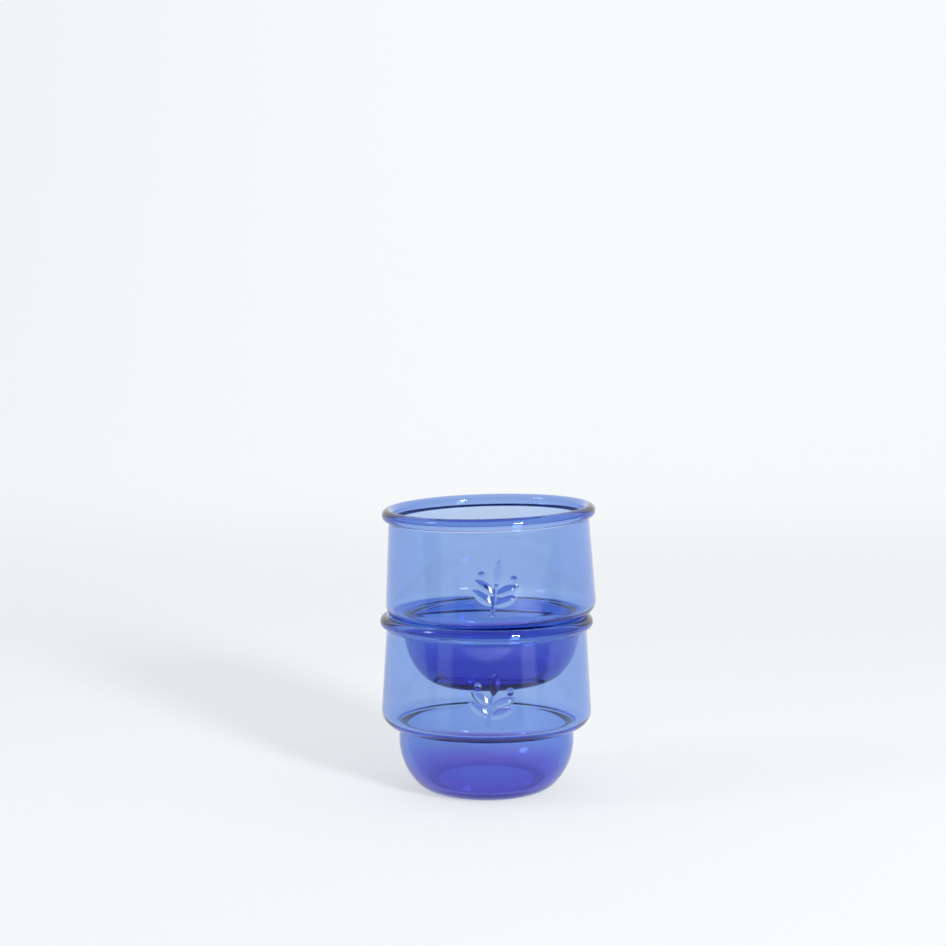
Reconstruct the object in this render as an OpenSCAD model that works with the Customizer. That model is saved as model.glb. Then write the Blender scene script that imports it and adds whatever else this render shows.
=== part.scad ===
// Two stacking cortado glasses of blue glass, one nested in the other.
// Each glass is a single piece: a rolled bead at the rim, a slightly flared body with a moulded
// sprig on its front, a rounded shoulder, and a narrower bowl that drops into the glass below.
// Millimetres, +Z up. The lower glass stands on z = 0 with its axis on Z and its front at -Y.

/* [Rim] */
// Outside diameter over the bead
rim_d = 70; // [60:0.5:90]
// Thickness of the rolled bead
bead_d = 4; // [3:0.1:5]
// Radius of the hollow where the bead meets the wall
bead_fillet = 0.6; // [0.3:0.1:1]

/* [Body] */
// Height of one glass, from foot to bead
glass_h = 58; // [50:0.5:80]
// Wall of the body
body_wall = 1.6; // [1.2:0.1:2]
// How far the body's side lies inside the middle of the bead
neck_in = 0.3; // [0:0.05:0.35]
// How far the shoulder stands out past the neck
shoulder_flare = 1.8; // [0.8:0.1:2.2]
// Radius of the rounded shoulder
shoulder_r = 5; // [3:0.1:5.5]
// Radius of the corner inside the shoulder
corner_r = 3.4; // [2:0.1:4]

/* [Bowl] */
// Height of the ledge above the foot
ledge_h = 21.5; // [18:0.5:26]
// Thickness of the ledge
ledge_t = 1.6; // [1.2:0.1:2.4]
// Radius of the hollow corner where the ledge meets the bowl
ledge_fillet = 0.5; // [0.3:0.1:1]
// Radius of the lip inside, where the ledge drops into the bowl
lip_r = 3.2; // [1:0.1:3.4]
// Wall of the bowl
bowl_wall = 2.7; // [1.6:0.1:3.5]
// Height of the bowl's upright part, under the ledge
upright_h = 4; // [2:0.5:6]
// Diameter of the flat foot
foot_d = 32; // [26:0.5:34]
// Radius of the turn from the foot up into the side
foot_turn = 10.2; // [7:0.1:10.8]
// Thickness of the floor
floor_t = 3.8; // [2.4:0.1:5]

/* [Sprig] */
// How far the sprig stands out of the wall
sprig_rise = 0.7; // [0.4:0.1:1]
// Height of the sprig's foot above the shoulder
sprig_up = 0.5; // [0.3:0.1:4]
// Lean of the sprig to the right, in degrees
sprig_lean = 10; // [0:1:20]
// Length of the stem
stem_l = 10; // [8:0.5:12]
// Width of the stem
stem_w = 1.1; // [0.8:0.1:1.6]
// Pairs of leaves along the stem
leaf_pairs = 2; // [1:1:2]
// Length of a leaf
leaf_l = 8; // [6:0.1:9]
// Width of a leaf
leaf_w = 3; // [2:0.1:3.6]
// Angle of the paired leaves from the stem
leaf_a = 62; // [45:1:75]
// Diameter of a berry
berry_d = 2.2; // [1.6:0.1:2.8]

/* [Stack] */
// Play between the bowl and the rim below it, all round
nest_play = 2.2; // [1:0.1:3]
// Gap kept where the bowl leans on the rim below it
side_gap = 0.3; // [0.2:0.05:0.5]
// Gap kept under the shoulder where it sits on the rim below it
seat_gap = 0.2; // [0.1:0.05:0.3]
// Way that the upper glass has slid, in degrees from the right towards the back
slide_a = 34; // [0:1:359]

/* [Hidden] */
$fn = 128;
glass_colour = "#6f8fdc";

// Most of the way from foot to side, or of the bowl's depth, that the turn may take.
turn_most = 0.85;

// Centres below are given in the half section, as radius and height.
bead_r = bead_d / 2;
bead_c = [rim_d / 2 - bead_r, glass_h - bead_r];
bowl_r = rim_d / 2 - bead_d - nest_play;
bowl_in = bowl_r - bowl_wall;
neck_c = bead_c - [neck_in, 0];
ledge_room = neck_c.x + shoulder_flare - bowl_r;
ledge_top = ledge_h + ledge_t;

// The shoulder is as round as the ledge leaves room for.
shoulder_round = min(shoulder_r, ledge_room - ledge_fillet);
shoulder_c = [neck_c.x + shoulder_flare - shoulder_round, ledge_h + shoulder_round];

// The body's side runs down from the neck and is tangent to the shoulder at this angle.
to_neck = neck_c - shoulder_c;
wall_a = atan2(to_neck.y, to_neck.x) - acos(shoulder_round / norm(to_neck));
neck_depth = neck_in * cos(wall_a);

// Inside, the corner is tangent to the wall and to the top of the ledge.
corner_in = body_wall + corner_r;
corner_drop = (neck_c.y - corner_in * sin(wall_a) - ledge_top - corner_r) / cos(wall_a);
corner_c = arm(arm(neck_c, -corner_in, wall_a), -corner_drop, wall_a + 90);
lip_round = min(lip_r, ledge_t + ledge_fillet + upright_h, corner_c.x - bowl_in);

// The sprig stands clear of the shoulder and leans about the foot of its stem.
shoulder_end = shoulder_c.y + (shoulder_round + sprig_rise) * sin(wall_a);
sprig_foot = shoulder_end + stem_w / 2 * sin(sprig_lean) + sprig_up;

// The bowl's side is upright under the ledge, then an arc that is tangent to the turn above the foot.
side_top = ledge_h - ledge_fillet - upright_h;
bowl_run = bowl_r - foot_d / 2;
foot_round = min(foot_turn, turn_most * bowl_run, turn_most * side_top);
turn_c = [foot_d / 2, foot_round];
side_r = (pow(bowl_run, 2) + pow(side_top, 2) - 2 * side_top * foot_round) / (2 * (bowl_run - foot_round));
side_c = [bowl_r - side_r, side_top];
turn_a = atan2(turn_c.y - side_c.y, turn_c.x - side_c.x);

// The upper glass slides over until its bowl meets the rim, so its shoulder rides up on that side.
seat_shift = nest_play - side_gap;
seat_run = bead_c.x - shoulder_c.x;
seat_rise = sqrt(pow(shoulder_round + bead_r, 2) - pow(seat_run, 2));
seat_lean = seat_shift * seat_run / (seat_rise * bead_c.x) * 180 / PI;

function arm(c, r, a) = c + r * [cos(a), sin(a)];

// A slice of a circle between two angles less than half a turn apart.
module sector(c, r, a0, a1) {
    intersection() {
        translate(c) circle(r);
        polygon([c, arm(c, 2 * r, a0), arm(c, 2 * r, (a0 + a1) / 2), arm(c, 2 * r, a1)]);
    }
}

// The sliver that rounds the corner between an upright side and the ledge above it.
module corner_sliver(corner, r) {
    translate(corner - [0, r]) difference() {
        square(r);
        translate([r, 0]) circle(r);
    }
}

// The bowl's half section, drawn in by a wall and carried up to a height.
module bowl_area(inset, top) {
    polygon([
        [0, inset],
        [turn_c.x, inset],
        arm(turn_c, foot_round - inset, turn_a),
        [bowl_r - inset, side_top],
        [bowl_r - inset, top],
        [0, top]
    ]);
    sector(turn_c, foot_round - inset, -90, turn_a);
    sector(side_c, side_r - inset, turn_a, 0);
}

// A half section of the body from a ledge up to the neck, with the corner between them rounded.
module body_area(ledge, c, r) {
    neck = arm(neck_c, (c - neck_c) * [cos(wall_a), sin(wall_a)] + r, wall_a);
    polygon([[0, ledge], [c.x, ledge], arm(c, r, wall_a), neck, [0, neck.y]]);
    sector(c, r, -90, wall_a);
}

module outside_area() {
    bowl_area(0, ledge_h);
    corner_sliver([bowl_r, ledge_h], ledge_fillet);
    body_area(ledge_h, shoulder_c, shoulder_round);
}

module inside_area() {
    intersection() {
        bowl_area(bowl_wall, ledge_top);
        translate([0, floor_t]) square([bowl_r, ledge_top - floor_t]);
    }
    corner_sliver([bowl_in, ledge_top], lip_round);
    body_area(ledge_top, corner_c, corner_r);
    // The mouth, open through the bead.
    translate([0, ledge_top]) square([arm(neck_c, -body_wall, wall_a).x, glass_h - ledge_top]);
}

// The hollow under the bead on one side of the wall, which lies at a depth from the bead's centre.
module bead_hollow(depth, side) {
    reach = side * (depth + bead_fillet);
    drop = sqrt(pow(bead_r + bead_fillet, 2) - pow(depth + bead_fillet, 2));
    hollow_c = arm(arm(bead_c, -drop, wall_a + 90), reach, wall_a);
    hollow_end = arm(hollow_c, -side * bead_fillet, wall_a);
    difference() {
        polygon([bead_c, hollow_c, hollow_end]);
        translate(hollow_c) circle(bead_fillet);
    }
    polygon([bead_c, hollow_end, arm(bead_c, side * depth, wall_a)]);
}

module wall_area() {
    difference() {
        outside_area();
        inside_area();
    }
    translate(bead_c) circle(bead_r);
    bead_hollow(-neck_depth, 1);
    bead_hollow(body_wall + neck_depth, -1);
}

// A pointed leaf that starts at the origin and runs up.
module leaf() {
    leaf_round = (pow(leaf_l, 2) / 4 + pow(leaf_w, 2) / 4) / leaf_w;
    offset_x = leaf_round - leaf_w / 2;
    translate([0, leaf_l / 2]) intersection() {
        translate([-offset_x, 0]) circle(leaf_round);
        translate([offset_x, 0]) circle(leaf_round);
    }
}

// The sprig as it is seen from the front, with the foot of its stem at the origin.
module sprig_area() {
    leaf_step = stem_l / (leaf_pairs + 1);
    translate([-stem_w / 2, 0]) square([stem_w, stem_l]);
    translate([0, stem_l]) leaf();
    for (i = [1 : leaf_pairs], side = [-1, 1])
        translate([0, i * leaf_step]) rotate(side * leaf_a) leaf();
    for (side = [-1, 1])
        translate([side * (leaf_l + berry_d) / 2, stem_l + berry_d]) circle(berry_d / 2);
}

// The sprig raised out of the front of the wall, rooted half-way through it.
module sprig() {
    intersection() {
        translate([0, 0, sprig_foot])
            rotate([90, 0, 0])
                linear_extrude(rim_d / 2) rotate(-sprig_lean) sprig_area();
        rotate_extrude() difference() {
            body_area(ledge_h - sprig_rise, shoulder_c, shoulder_round + sprig_rise);
            body_area(ledge_h + body_wall / 2, shoulder_c, shoulder_round - body_wall / 2);
        }
    }
}

module glass() {
    rotate_extrude() intersection() {
        wall_area();
        square([rim_d, glass_h]);
    }
    sprig();
}

// Puts a glass where it sits in the one below, leaning about the rim's centre.
module nested() {
    rotate(slide_a)
        translate([seat_shift, 0, bead_c.y + seat_gap])
            rotate([0, -seat_lean, 0])
                translate([0, 0, seat_rise - shoulder_c.y])
                    rotate(-slide_a)
                        children();
}

module lower_glass() {
    color(glass_colour) glass();
}

module upper_glass() {
    color(glass_colour) nested() glass();
}

lower_glass();
upper_glass();
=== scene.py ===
import bpy
from math import acos, atan2, cos, hypot, pi, radians, sin, sqrt
from mathutils import Matrix, Vector


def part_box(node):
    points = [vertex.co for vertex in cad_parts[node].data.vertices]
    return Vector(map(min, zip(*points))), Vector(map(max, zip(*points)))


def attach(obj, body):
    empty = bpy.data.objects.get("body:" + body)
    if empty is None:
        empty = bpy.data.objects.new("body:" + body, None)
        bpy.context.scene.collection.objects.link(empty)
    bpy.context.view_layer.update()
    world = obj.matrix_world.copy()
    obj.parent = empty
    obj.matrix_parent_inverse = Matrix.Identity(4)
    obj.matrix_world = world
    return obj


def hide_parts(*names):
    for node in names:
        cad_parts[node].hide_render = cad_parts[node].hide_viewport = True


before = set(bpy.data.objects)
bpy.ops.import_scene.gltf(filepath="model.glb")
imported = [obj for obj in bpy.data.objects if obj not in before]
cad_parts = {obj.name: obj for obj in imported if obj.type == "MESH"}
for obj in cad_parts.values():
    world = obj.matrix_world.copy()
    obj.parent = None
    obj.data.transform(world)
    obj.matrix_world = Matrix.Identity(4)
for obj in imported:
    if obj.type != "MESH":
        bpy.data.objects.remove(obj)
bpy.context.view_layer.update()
mm = 0.001
print("frame loaded with", ", ".join(sorted(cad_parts)))

# one glass, in millimetres; the rim's width and the height come from the CAD node
lowCorner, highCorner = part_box("lower_glass")
glassForm = {
    "rimRadius": (highCorner.x - lowCorner.x) / 2 / mm,
    "height": highCorner.z / mm,
    "beadRadius": 2,
    "beadFillet": 0.6,  # the hollow where the rolled bead meets the wall
    "bodyWall": 1.6,
    "neckIn": 0.3,  # how far the body's side lies inside the middle of the bead
    "shoulderFlare": 1.8,
    "shoulderRadius": 5,
    "cornerRadius": 2.6,  # inside the shoulder
    "ledgeHeight": 21.5,
    "ledge": 1.7,
    "ledgeSlope": 20,  # degrees that its top falls towards the bowl
    "ledgeMiddle": 29.4,  # radius at which it is as thick as given
    "ledgeFillet": 0.5,
    "lipRadius": 1.1,
    "bowlWall": 2.7,
    "uprightHeight": 4,  # of the bowl's side, under the ledge
    "footRadius": 16,
    "footTurn": 10.2,
    "floor": 3.8,
    "floorFillet": 1.5,
    "nestPlay": 2.2,  # between a bowl and the mouth it drops into
    "sideGap": 0.3,
    "seatGap": 0.2,
    "slideAngle": 34,  # way that the upper glass has slid, from the right towards the back
    "frontAngle": 44,  # degrees of the turn that carry the sprig, turned finer
    "frontSteps": 190,
    "restSteps": 176,
    "sprigShare": 0.72,  # of the body's side, from the shoulder up, drawn finely
    "mergeGap": 0.002,
    "smoothAngle": 40,  # degrees, past which an edge stays sharp
}
# steps along each stretch of the half section
outlineSteps = {
    "foot": 4,
    "turn": 12,
    "insideTurn": 6,
    "side": 16,
    "fillet": 5,
    "insideFillet": 4,
    "shoulder": 16,
    "sprigSide": 90,
    "neck": 8,
    "bead": 40,
    "wall": 16,
    "corner": 12,
    "lip": 10,
}


def arm(centre, radius, angle):
    return (centre[0] + radius * cos(angle), centre[1] + radius * sin(angle))


def arc(centre, radius, start, end, count):
    return [arm(centre, radius, start + (end - start) * i / count) for i in range(count + 1)]


def line(start, end, count):
    # without its ends
    return [tuple(a + (b - a) * i / count for a, b in zip(start, end)) for i in range(1, count)]


# centres and angles of the half section, as radius and height
g, steps = glassForm, outlineSteps
beadCentre = (g["rimRadius"] - g["beadRadius"], g["height"] - g["beadRadius"])
bowlRadius = g["rimRadius"] - 2 * g["beadRadius"] - g["nestPlay"]
bowlInside = bowlRadius - g["bowlWall"]
bowlTop = g["ledgeHeight"] - g["ledgeFillet"]
neckCentre = (beadCentre[0] - g["neckIn"], beadCentre[1])
shoulderCentre = (
    neckCentre[0] + g["shoulderFlare"] - g["shoulderRadius"],
    g["ledgeHeight"] + g["shoulderRadius"])
toNeck = (neckCentre[0] - shoulderCentre[0], neckCentre[1] - shoulderCentre[1])
wallAngle = atan2(toNeck[1], toNeck[0]) - acos(g["shoulderRadius"] / hypot(*toNeck))
neckDepth = g["neckIn"] * cos(wallAngle)
ledgeSlope = radians(g["ledgeSlope"])
ledgeMiddle = (g["ledgeMiddle"], g["ledgeHeight"] + g["ledge"])
cornerStart = arm(ledgeMiddle, g["cornerRadius"], ledgeSlope + pi / 2)
toWall = (neckCentre[0] - cornerStart[0]) * cos(wallAngle)
toWall += (neckCentre[1] - cornerStart[1]) * sin(wallAngle)
toWall -= g["bodyWall"] + g["cornerRadius"]
cornerCentre = arm(cornerStart, toWall / cos(ledgeSlope - wallAngle), ledgeSlope)
lipStart = arm(ledgeMiddle, -g["lipRadius"], ledgeSlope + pi / 2)
toBowl = bowlInside + g["lipRadius"] - lipStart[0]
lipCentre = arm(lipStart, toBowl / cos(ledgeSlope), ledgeSlope)
sideTop = bowlTop - g["uprightHeight"]
bowlRun = bowlRadius - g["footRadius"]
turnCentre = (g["footRadius"], g["footTurn"])
sideRadius = bowlRun ** 2 + sideTop ** 2 - 2 * sideTop * g["footTurn"]
sideRadius /= 2 * (bowlRun - g["footTurn"])
sideCentre = (bowlRadius - sideRadius, sideTop)
turnAngle = atan2(turnCentre[1] - sideCentre[1], turnCentre[0] - sideCentre[0])


def outsideOutline():
    bead, fillet = g["beadRadius"], g["beadFillet"]
    drop = sqrt((bead + fillet) ** 2 - (fillet - neckDepth) ** 2)
    wallEnd = arm(arm(beadCentre, -drop, wallAngle + pi / 2), -neckDepth, wallAngle)
    hollowCentre = arm(wallEnd, fillet, wallAngle)
    beadStart = atan2(hollowCentre[1] - beadCentre[1], hollowCentre[0] - beadCentre[0])
    shoulder = arc(shoulderCentre, g["shoulderRadius"], -pi / 2, wallAngle, steps["shoulder"])
    ledgeHollow = (bowlRadius + g["ledgeFillet"], bowlTop)
    sprigTop = tuple(a + (b - a) * g["sprigShare"] for a, b in zip(shoulder[-1], wallEnd))
    points = [(0, 0)] + line((0, 0), (g["footRadius"], 0), steps["foot"])
    points += arc(turnCentre, g["footTurn"], -pi / 2, turnAngle, steps["turn"])
    points += arc(sideCentre, sideRadius, turnAngle, 0, steps["side"])[1:]
    points += arc(ledgeHollow, g["ledgeFillet"], pi, pi / 2, steps["fillet"])
    points += shoulder
    points += line(shoulder[-1], sprigTop, steps["sprigSide"]) + [sprigTop]
    points += line(sprigTop, wallEnd, steps["neck"])
    points += arc(hollowCentre, fillet, wallAngle + pi, beadStart + pi, steps["fillet"])
    return points, beadStart


def insideOutline():
    bead, fillet, wall = g["beadRadius"], g["beadFillet"], g["bodyWall"] + neckDepth
    drop = sqrt((bead + fillet) ** 2 - (wall + fillet) ** 2)
    wallStart = arm(arm(beadCentre, -drop, wallAngle + pi / 2), -wall, wallAngle)
    hollowCentre = arm(wallStart, -fillet, wallAngle)
    beadEnd = atan2(hollowCentre[1] - beadCentre[1], hollowCentre[0] - beadCentre[0])
    corner = arc(cornerCentre, g["cornerRadius"], wallAngle, ledgeSlope - pi / 2, steps["corner"])
    turn, fall = g["footTurn"] - g["bowlWall"], g["floorFillet"]
    fallHeight = g["floor"] + fall
    fallRun = sqrt((turn - fall) ** 2 - (turnCentre[1] - fallHeight) ** 2)
    fallCentre = (turnCentre[0] + fallRun, fallHeight)
    fallAngle = atan2(fallCentre[1] - turnCentre[1], fallCentre[0] - turnCentre[0])
    points = arc(hollowCentre, fillet, beadEnd + pi, wallAngle, steps["insideFillet"])
    points += line(wallStart, corner[0], steps["wall"])
    points += corner
    points += arc(lipCentre, g["lipRadius"], ledgeSlope + pi / 2, pi, steps["lip"])
    points += arc(sideCentre, sideRadius - g["bowlWall"], 0, turnAngle, steps["side"])
    points += arc(turnCentre, turn, turnAngle, fallAngle, steps["insideTurn"])[1:]
    points += arc(fallCentre, fall, fallAngle, -pi / 2, steps["fillet"])[1:]
    points += line((fallCentre[0], g["floor"]), (0, g["floor"]), steps["foot"]) + [(0, g["floor"])]
    return points, beadEnd


def glassOutline():
    outside, beadStart = outsideOutline()
    inside, beadEnd = insideOutline()
    bead = arc(beadCentre, g["beadRadius"], beadStart, beadEnd + 2 * pi, steps["bead"])
    return outside + bead[1:-1] + inside


# the moulded sprig on the front, in millimetres
sprig = {
    "rise": 0.7,
    "up": 0.5,  # of its foot above the shoulder
    "lean": 10,  # degrees to the right
    "stemLength": 10,
    "stemWidth": 1.1,
    "leafPairs": 2,
    "leafLength": 8,
    "leafWidth": 3,
    "leafAngle": 62,  # from the stem
    "edgeStep": 0.3,  # step up at a leaf's edge, as a share of the rise
    "edgeWidth": 0.3,
    "berry": 2.2,
    "margin": 1,  # above and below it, where its points are looked for
}
sprigLean = radians(sprig["lean"])
sprigFoot = shoulderCentre[1] + (g["shoulderRadius"] + sprig["rise"]) * sin(wallAngle)
sprigFoot += sprig["stemWidth"] / 2 * sin(sprigLean) + sprig["up"]
sprigReach = sprig["stemLength"] + sprig["leafLength"]
leafStep = sprig["stemLength"] / (sprig["leafPairs"] + 1)
leafPlaces = [(sprig["stemLength"], 0)]
leafPlaces += [
    ((i + 1) * leafStep, side * radians(sprig["leafAngle"]))
    for i in range(sprig["leafPairs"]) for side in (-1, 1)]
berryPlaces = [
    (side * (sprig["leafLength"] + sprig["berry"]) / 2, sprig["stemLength"] + sprig["berry"])
    for side in (-1, 1)]


def leafHeight(across, up):
    length, half = sprig["leafLength"], sprig["leafWidth"] / 2
    bow = (length ** 2 / 4 + half ** 2) / (2 * half)
    inside = bow - hypot(abs(across) + bow - half, up - length / 2)
    if inside <= 0:
        return 0
    climb = min(1, inside / sprig["edgeWidth"])
    roof = (1 - sprig["edgeStep"]) * inside / half  # with a ridge along the middle
    return sprig["edgeStep"] * climb * (2 - climb) + roof


def roundHeight(away, radius):
    return sqrt(1 - (away / radius) ** 2) if away < radius else 0


def sprigHeight(x, z):
    across = x * cos(sprigLean) - z * sin(sprigLean)
    up = x * sin(sprigLean) + z * cos(sprigLean)
    heights = [
        roundHeight(hypot(across - x0, up - z0), sprig["berry"] / 2) for x0, z0 in berryPlaces]
    if 0 < up < sprig["stemLength"]:
        heights.append(roundHeight(abs(across), sprig["stemWidth"] / 2))
    for start, turn in leafPlaces:
        rest = up - start
        leafAcross = across * cos(turn) + rest * sin(turn)
        leafUp = rest * cos(turn) - across * sin(turn)
        heights.append(leafHeight(leafAcross, leafUp))
    return max(heights)


def pick(thing):
    bpy.ops.object.select_all(action="DESELECT")
    thing.select_set(True)
    bpy.context.view_layer.objects.active = thing


def copyOf(thing, name):
    pick(thing)
    bpy.ops.object.duplicate()
    bpy.context.object.name = name
    return bpy.context.object


def halfSection(name, angle):
    points = [Vector((r * cos(angle), r * sin(angle), z)) * mm for r, z in glassOutline()]
    bpy.ops.object.select_all(action="DESELECT")
    bpy.ops.mesh.primitive_plane_add(size=mm, location=points[0])
    section = bpy.context.object
    section.name = name
    bpy.ops.object.transform_apply(location=True, rotation=False, scale=False)
    bpy.ops.object.mode_set(mode="EDIT")
    bpy.ops.mesh.merge(type="CENTER")  # one point, drawn along the half section
    for before, after in zip(points, points[1:]):
        bpy.ops.mesh.extrude_region_move(TRANSFORM_OT_translate={"value": after - before})
    bpy.ops.object.mode_set(mode="OBJECT")
    return section


def turnSection(section, angle, count):
    pick(section)
    turned = section.modifiers.new("turn", "SCREW")
    turned.angle = angle
    turned.steps = turned.render_steps = count
    bpy.ops.object.modifier_apply(modifier=turned.name)


def turnGlass(name):
    front = radians(g["frontAngle"])
    glass = halfSection(name, -pi / 2 - front / 2)
    rest = copyOf(glass, name + "Rest")
    turnSection(glass, front, g["frontSteps"])
    turnSection(rest, front - 2 * pi, g["restSteps"])
    pick(glass)
    rest.select_set(True)
    bpy.ops.object.join()
    bpy.ops.object.mode_set(mode="EDIT")
    bpy.ops.mesh.select_all(action="SELECT")
    bpy.ops.mesh.remove_doubles(threshold=g["mergeGap"] * mm)
    bpy.ops.mesh.normals_make_consistent(inside=False)
    bpy.ops.object.mode_set(mode="OBJECT")
    bpy.ops.object.shade_smooth_by_angle(angle=radians(g["smoothAngle"]))
    return glass


def raiseSprig(glass):
    group = glass.vertex_groups.new(name="sprig")
    margin = sprig["margin"]
    for vertex in glass.data.vertices:
        x, y, z = vertex.co / mm
        facesFront = y < 0 < vertex.normal.x * x + vertex.normal.y * y
        up = z - sprigFoot
        if facesFront and abs(x) < sprigReach and -margin < up < sprigReach + margin:
            height = sprigHeight(x, up)
            if height > 0:
                group.add([vertex.index], height, "REPLACE")
    pick(glass)
    raised = glass.modifiers.new("sprig", "DISPLACE")
    raised.vertex_group = group.name
    raised.mid_level = 0
    raised.strength = sprig["rise"] * mm
    bpy.ops.object.modifier_apply(modifier=raised.name)
    glass.vertex_groups.clear()


# what each wall keeps of red, green and blue, besides what is lost inside the glass
wallTint = {
    "foot": (0.74, 0.353, 0.885),  # indigo, where the glass is thick
    "footFade": (3, 15),  # millimetres up, where it starts to fade and ends
    "body": (0.93, 0.97, 1),
    "beadFade": (-0.5, 0.5),  # millimetres up from the underside of the bead
    "bead": (1, 1, 1),
}


def ease(value, low, high):
    share = min(1, max(0, (value - low) / (high - low)))
    return share * share * (3 - 2 * share)


def tintWalls(glass):
    tints = glass.data.attributes.new("wallTint", "FLOAT_VECTOR", "POINT")
    underBead = beadCentre[1] - g["beadRadius"]
    for vertex, tint in zip(glass.data.vertices, tints.data):
        up = vertex.co.z / mm
        foot = 1 - ease(up, *wallTint["footFade"])
        bead = ease(up - underBead, *wallTint["beadFade"])
        shares = {"foot": foot, "body": 1 - foot - bead, "bead": bead}
        tint.vector = [
            sum(wallTint[name][i] * share for name, share in shares.items()) for i in range(3)]


def nestMatrix():
    # the upper glass slides over until its bowl meets the rim, and leans about the rim's centre
    shift = g["nestPlay"] - g["sideGap"]
    run = beadCentre[0] - shoulderCentre[0]
    rise = sqrt((g["shoulderRadius"] + g["beadRadius"]) ** 2 - run ** 2)
    lean = shift * run / (rise * beadCentre[0])
    slide = Matrix.Rotation(radians(g["slideAngle"]), 4, "Z")
    place = Matrix.Translation(Vector((shift, 0, beadCentre[1] + g["seatGap"])) * mm)
    lift = Matrix.Translation(Vector((0, 0, rise - shoulderCentre[1])) * mm)
    return slide @ place @ Matrix.Rotation(-lean, 4, "Y") @ lift @ slide.inverted()


lowerGlass = turnGlass("lowerGlass")
raiseSprig(lowerGlass)
tintWalls(lowerGlass)
upperGlass = copyOf(lowerGlass, "upperGlass")
upperGlass.matrix_world = nestMatrix()
bpy.ops.object.transform_apply(location=True, rotation=True, scale=False)
print("glasses turned,", len(lowerGlass.data.polygons), "faces each")


class Wire:
    # a socket in a node tree, with the operators that the materials use
    def __init__(self, tree, socket=None):
        self.tree = tree
        self.socket = socket

    def add(self, kind, settings=None, output=0, **sockets):
        node = self.tree.nodes.new(kind)
        for name, value in (settings or {}).items():
            setattr(node, name, value)
        for name, value in sockets.items():
            numbered = name[1:].isdigit()  # i0 is the first socket
            socket = node.inputs[int(name[1:]) if numbered else name.replace("_", " ")]
            if isinstance(value, Wire):
                self.tree.links.new(value.socket, socket)
            else:
                socket.default_value = value
        return Wire(self.tree, node.outputs[output] if node.outputs else None)

    def math(self, operation, a, b):
        return self.add("ShaderNodeMath", {"operation": operation}, i0=a, i1=b)

    def __add__(self, other):
        return self.math("ADD", self, other)

    def __mul__(self, other):
        return self.math("MULTIPLY", self, other)

    __radd__ = __add__
    __rmul__ = __mul__

    def __sub__(self, other):
        return self.math("SUBTRACT", self, other)

    def __rsub__(self, other):
        return self.math("SUBTRACT", other, self)

    def spread(self, low, high, lowTo, highTo):
        # eases a value from one span to another
        return self.add(
            "ShaderNodeMapRange", {"interpolation_type": "SMOOTHSTEP"},
            i0=self, i1=low, i2=high, i3=lowTo, i4=highTo)


def newMaterial(name):
    material = bpy.data.materials.new(name)
    material.use_nodes = True
    material.node_tree.nodes.clear()
    return material, Wire(material.node_tree)


blueGlass = {
    "absorb": (320, 215, 48),  # light lost per metre of glass, in red, green and blue
    "ior": 1.5,
    "rippleDepth": 0.02,  # millimetres of ripple left by the mould
    "rippleScale": (90, 90, 25),  # ripples to a metre
    "rippleShare": 0.6,
    "smear": 0.02,
    "smearScale": 60.0,
}


def blueGlassMaterial():
    material, wire = newMaterial("blueGlass")
    spot = wire.add("ShaderNodeTexCoord", output="Object")
    stretched = wire.add("ShaderNodeMapping", Vector=spot, Scale=blueGlass["rippleScale"])
    ripple = wire.add("ShaderNodeTexNoise", Vector=stretched, Scale=1.0, Detail=1.0)
    smudge = wire.add("ShaderNodeTexNoise", Vector=spot, Scale=blueGlass["smearScale"], Detail=3.0)
    normal = wire.add(
        "ShaderNodeBump", Height=ripple, Strength=blueGlass["rippleShare"],
        Distance=blueGlass["rippleDepth"] * mm)
    tint = wire.add("ShaderNodeAttribute", {"attribute_name": "wallTint"}, output="Color")
    surface = wire.add(
        "ShaderNodeBsdfPrincipled", Base_Color=tint, Transmission_Weight=1.0,
        IOR=blueGlass["ior"], Roughness=smudge * blueGlass["smear"], Normal=normal)
    density = max(blueGlass["absorb"])
    kept = [1 - a / density for a in blueGlass["absorb"]]
    volume = wire.add("ShaderNodeVolumeAbsorption", Color=(*kept, 1), Density=float(density))
    wire.add("ShaderNodeOutputMaterial", Surface=surface, Volume=volume)
    return material


glassMaterial = blueGlassMaterial()
for glass, node, body in (
        (lowerGlass, "lower_glass", "lower"), (upperGlass, "upper_glass", "upper")):
    glass.data.materials.clear()
    glass.data.materials.append(glassMaterial)
    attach(glass, body)
    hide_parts(node)
print("blue glass material made")

# the stage: a pale sheet that runs back from the glasses and sweeps up behind them; its own glow is
# painted light, brighter towards the back and dimmer at its left and front
stage = {
    "width": 6.0,
    "front": -3.0,
    "back": 1.6,
    "top": 2.5,
    "sweep": 0.8,
    "sweepSteps": 24,
    "colour": (0.92, 0.935, 0.95),
    "nearGlow": 0.6,  # share of its own white, to the camera and through the glass
    "nearColour": (0.89, 0.915, 0.93),
    "nearEdge": 0.2,
    "farGlow": 0.85,
    "farColour": (0.965, 0.985, 0.995),
    "farEdge": 1.0,
    "leftEdge": -0.6,  # painted shade: its left side is a little dimmer
    "leftLevel": 0.94,
    "frontEdge": -0.2,  # and so is its front
    "frontLevel": 0.94,
    "darkStart": -0.16,  # between these the glass sees it darken, but for two pale strips: painted shade with painted pale strips, shown only in reflections and through the glass
    "darkEnd": -0.8,
    "darkFade": 0.06,
    "darkLevel": 0.3,
    "stripStart": 0.85,  # sideways, as a share of the way forward
    "stripEnd": 1.4,
    "stripFade": 0.1,
}


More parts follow.
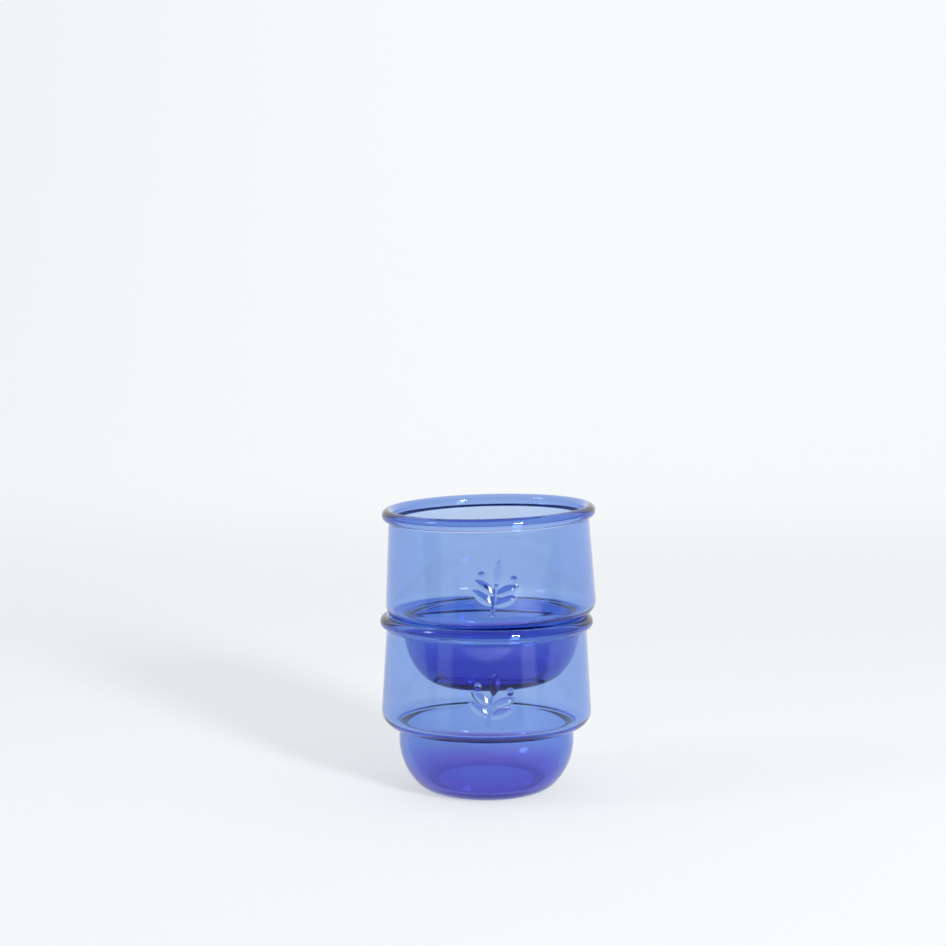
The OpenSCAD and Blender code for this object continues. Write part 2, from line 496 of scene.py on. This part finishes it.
def paleSheet():
    material, wire = newMaterial("paleSheet")
    byCamera = wire.add("ShaderNodeLightPath", output="Is Camera Ray")
    byGlass = wire.math(
        "MAXIMUM", wire.add("ShaderNodeLightPath", output="Is Glossy Ray"),
        wire.add("ShaderNodeLightPath", output="Is Transmission Ray"))
    spot = wire.add("ShaderNodeTexCoord", output="Object")
    aside = wire.add("ShaderNodeSeparateXYZ", output="X", Vector=spot)
    depth = wire.add("ShaderNodeSeparateXYZ", output="Y", Vector=spot)
    # painted light: the sheet glows more, and whiter, towards the back
    far = depth.spread(stage["nearEdge"], stage["farEdge"], 0.0, 1.0)
    glow = far * (stage["farGlow"] - stage["nearGlow"]) + stage["nearGlow"]
    # painted shade on the floor in front of the glasses, seen only by glass rays, broken by two
    # painted pale strips
    dark = depth.spread(
        stage["darkEnd"] - stage["darkFade"], stage["darkEnd"], 0.0, 1.0 - stage["darkLevel"])
    dark = dark * depth.spread(stage["darkStart"] - stage["darkFade"], stage["darkStart"], 1.0, 0.0)
    slant = wire.math("ABSOLUTE", wire.math("DIVIDE", aside, depth), 0.0)
    strip = slant.spread(stage["stripStart"] - stage["stripFade"], stage["stripStart"], 0.0, 1.0)
    strip = strip * slant.spread(
        stage["stripEnd"], stage["stripEnd"] + stage["stripFade"], 1.0, 0.0)
    level = 1 - dark * (1 - strip)
    share = wire.math("MAXIMUM", byCamera * glow, byGlass * (1 - level * (1 - glow)))
    paper = wire.add("ShaderNodeBsdfDiffuse", Color=(*stage["colour"], 1))
    tone = wire.add(
        "ShaderNodeMix", {"data_type": "RGBA"}, output=2, i0=far,
        i6=(*stage["nearColour"], 1), i7=(*stage["farColour"], 1))
    # painted shade: its glow is dimmer to the left and to the front
    dim = aside.spread(stage["leftEdge"], 0.0, stage["leftLevel"], 1.0)
    dim = dim * depth.spread(stage["frontEdge"], 0.0, stage["frontLevel"], 1.0)
    strength = wire.math("MAXIMUM", byCamera, level) * dim
    white = wire.add("ShaderNodeEmission", Color=tone, Strength=strength)
    surface = wire.add("ShaderNodeMixShader", i0=share, i1=paper, i2=white)
    wire.add("ShaderNodeOutputMaterial", Surface=surface)
    return material


def paleSweep():
    bpy.ops.object.select_all(action="DESELECT")
    bpy.ops.mesh.primitive_plane_add(size=1)
    sweep = bpy.context.object
    sweep.name = "paleSweep"
    sweep.scale = (stage["width"], stage["back"] - stage["front"], 1)
    sweep.location = (0, (stage["back"] + stage["front"]) / 2, 0)
    bpy.ops.object.transform_apply(location=True, rotation=False, scale=True)

    def pickBackEdge():
        for edge in sweep.data.edges:
            ends = [sweep.data.vertices[i].co for i in edge.vertices]
            edge.select = all(abs(p.y - stage["back"]) < mm and abs(p.z) < mm for p in ends)
        bpy.ops.object.mode_set(mode="EDIT")

    bpy.ops.object.mode_set(mode="EDIT")
    bpy.ops.mesh.select_mode(type="EDGE")
    bpy.ops.mesh.select_all(action="DESELECT")
    bpy.ops.object.mode_set(mode="OBJECT")
    pickBackEdge()
    bpy.ops.mesh.extrude_region_move(TRANSFORM_OT_translate={"value": (0, 0, stage["top"])})
    bpy.ops.mesh.select_all(action="DESELECT")
    bpy.ops.object.mode_set(mode="OBJECT")
    pickBackEdge()
    bpy.ops.mesh.bevel(offset=stage["sweep"], segments=stage["sweepSteps"])
    bpy.ops.object.mode_set(mode="OBJECT")
    bpy.ops.object.shade_smooth()
    sweep.data.materials.append(paleSheet())


paleSweep()

lights = {
    # name: azimuth to the right of the camera, elevation, distance, size, watts
    "rightLight": (32, 18, 1.5, (0.25, 0.35), 26),
    "leftLight": (-72, 35, 1.5, (0.25, 0.35), 3),
}
aim = Vector((0, 0, 50)) * mm  # about the middle of the stack
for name, (azimuth, elevation, distance, size, watts) in lights.items():
    turn, tilt = radians(azimuth), radians(elevation)
    way = Vector((sin(turn) * cos(tilt), -cos(turn) * cos(tilt), sin(tilt)))
    bpy.ops.object.light_add(type="AREA", location=aim + way * distance)
    lamp = bpy.context.object
    lamp.name = name
    lamp.rotation_euler = way.to_track_quat("Z", "Y").to_euler()
    lamp.data.shape = "RECTANGLE"
    lamp.data.size, lamp.data.size_y = size
    lamp.data.energy = watts

# the room: bright behind, at the sides and overhead, dimmer behind the camera
room = {
    "colour": (0.96, 0.98, 1.0),
    "bright": 0.72,
    "frontDim": 0.5,
    "dimRange": (-0.9, 0.1),  # way looked in, from -1 for the front to 1 for the back
    "backdrop": 0.95,  # what the camera sees of it
}


def studioRoom():
    world = bpy.data.worlds.new("studioRoom")
    bpy.context.scene.world = world
    world.use_nodes = True
    world.node_tree.nodes.clear()
    wire = Wire(world.node_tree)
    way = wire.add("ShaderNodeTexCoord", output="Generated")
    depth = wire.add("ShaderNodeSeparateXYZ", output="Y", Vector=way)
    byCamera = wire.add("ShaderNodeLightPath", output="Is Camera Ray")
    level = depth.spread(*room["dimRange"], room["frontDim"] * room["bright"], room["bright"])
    level = wire.math("MAXIMUM", level, byCamera * room["backdrop"])
    light = wire.add("ShaderNodeBackground", Color=(*room["colour"], 1), Strength=level)
    wire.add("ShaderNodeOutputWorld", Surface=light)


studioRoom()
print("stage and lights set")

# the photograph's view: the frame is square, and focal length is in its pixels
view = {
    "frame": 946,
    "focal": 2000,
    "place": (-4.46, -650.8, 162.5),  # millimetres
    "pitch": 5.09,  # degrees down
    "sensor": 36,
    "nearest": 10,
    "glassBounces": 40,  # enough for two nested glasses
    "mirrorBounces": 12,
}
bpy.ops.object.camera_add(
    location=Vector(view["place"]) * mm, rotation=(radians(90 - view["pitch"]), 0, 0))
camera = bpy.context.object
camera.data.sensor_width = view["sensor"]
camera.data.lens = view["focal"] * view["sensor"] / view["frame"]
camera.data.clip_start = view["nearest"] * mm
scene = bpy.context.scene
scene.camera = camera
scene.view_settings.view_transform = "Standard"
scene.cycles.max_bounces = view["glassBounces"]
scene.cycles.transmission_bounces = view["glassBounces"]
scene.cycles.glossy_bounces = view["mirrorBounces"]
